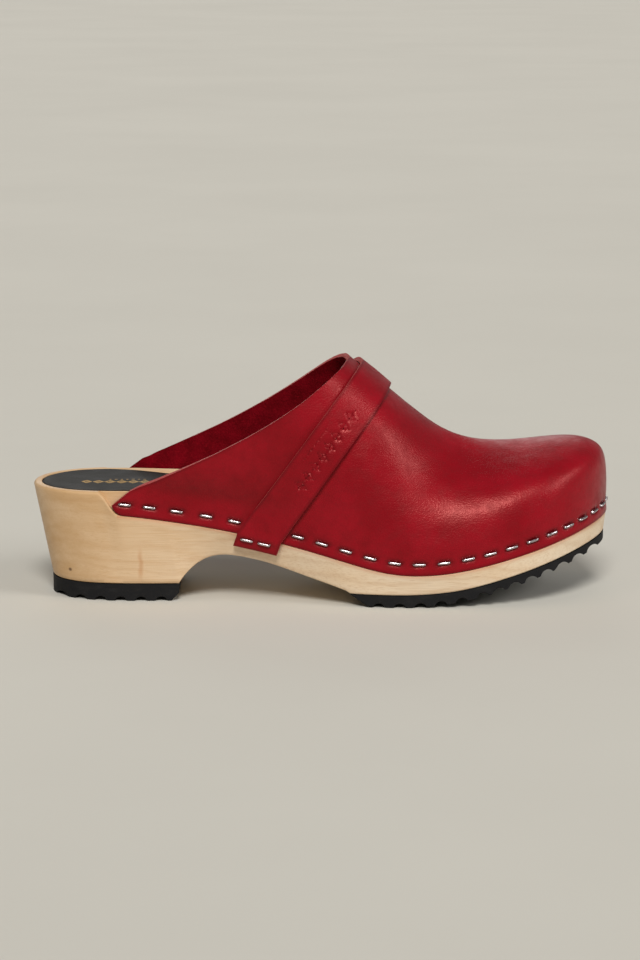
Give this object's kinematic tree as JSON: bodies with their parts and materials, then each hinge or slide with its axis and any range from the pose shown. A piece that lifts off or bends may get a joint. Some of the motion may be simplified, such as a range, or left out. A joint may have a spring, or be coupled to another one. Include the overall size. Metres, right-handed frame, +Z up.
{
  "type": "wooden clog",
  "caption": "Closed-toe slip-on clog: a leather upper stapled round a carved wooden sole with a block heel, with an instep strap, a heel pad and ribbed rubber treads.",
  "frame": {"origin": "on the ground, under the middle of the shoe's bounding box", "axes": "+X from the heel to the toe, +Z up, -Y towards the outer side of this right shoe"},
  "size_m": [0.2624, 0.0936, 0.1072],
  "materials": {
    "wood": "pale alder or lime wood, sanded smooth, with a thin clear seal",
    "red_leather": "deep red smooth full-grain leather with a waxed sheen",
    "black_rubber": "matte black moulded rubber",
    "pad_leather": "thin black leather, slightly satin",
    "stiffener_board": "pale brown moulded board, hidden inside the toe",
    "staple_wire": "bright drawn steel wire"
  },
  "bodies": {
    "root": {"forefoot_rubber": "black_rubber", "heel_pad": "pad_leather", "heel_rubber": "black_rubber", "instep_strap": "red_leather", "leather_upper": "red_leather", "strap_staple_inner_1": "staple_wire", "strap_staple_inner_2": "staple_wire", "strap_staple_outer_1": "staple_wire", "strap_staple_outer_2": "staple_wire", "toe_stiffener": "stiffener_board", "vamp_staple_inner_01": "staple_wire", "vamp_staple_inner_02": "staple_wire", "vamp_staple_inner_03": "staple_wire", "vamp_staple_inner_04": "staple_wire", "vamp_staple_inner_05": "staple_wire", "vamp_staple_inner_06": "staple_wire", "vamp_staple_inner_07": "staple_wire", "vamp_staple_inner_08": "staple_wire", "vamp_staple_inner_09": "staple_wire", "vamp_staple_inner_10": "staple_wire", "vamp_staple_inner_11": "staple_wire", "vamp_staple_inner_12": "staple_wire", "vamp_staple_inner_13": "staple_wire", "vamp_staple_inner_14": "staple_wire", "vamp_staple_inner_15": "staple_wire", "vamp_staple_inner_16": "staple_wire", "vamp_staple_inner_17": "staple_wire", "vamp_staple_inner_18": "staple_wire", "vamp_staple_inner_19": "staple_wire", "vamp_staple_inner_20": "staple_wire", "vamp_staple_inner_21": "staple_wire", "vamp_staple_inner_22": "staple_wire", "vamp_staple_outer_01": "staple_wire", "vamp_staple_outer_02": "staple_wire", "vamp_staple_outer_03": "staple_wire", "vamp_staple_outer_04": "staple_wire", "vamp_staple_outer_05": "staple_wire", "vamp_staple_outer_06": "staple_wire", "vamp_staple_outer_07": "staple_wire", "vamp_staple_outer_08": "staple_wire", "vamp_staple_outer_09": "staple_wire", "vamp_staple_outer_10": "staple_wire", "vamp_staple_outer_11": "staple_wire", "vamp_staple_outer_12": "staple_wire", "vamp_staple_outer_13": "staple_wire", "vamp_staple_outer_14": "staple_wire", "vamp_staple_outer_15": "staple_wire", "vamp_staple_outer_16": "staple_wire", "vamp_staple_outer_17": "staple_wire", "vamp_staple_outer_18": "staple_wire", "vamp_staple_outer_19": "staple_wire", "vamp_staple_outer_20": "staple_wire", "vamp_staple_outer_21": "staple_wire", "vamp_staple_outer_22": "staple_wire", "vamp_staple_outer_23": "staple_wire", "wooden_sole": "wood"}
  },
  "joints": []
}
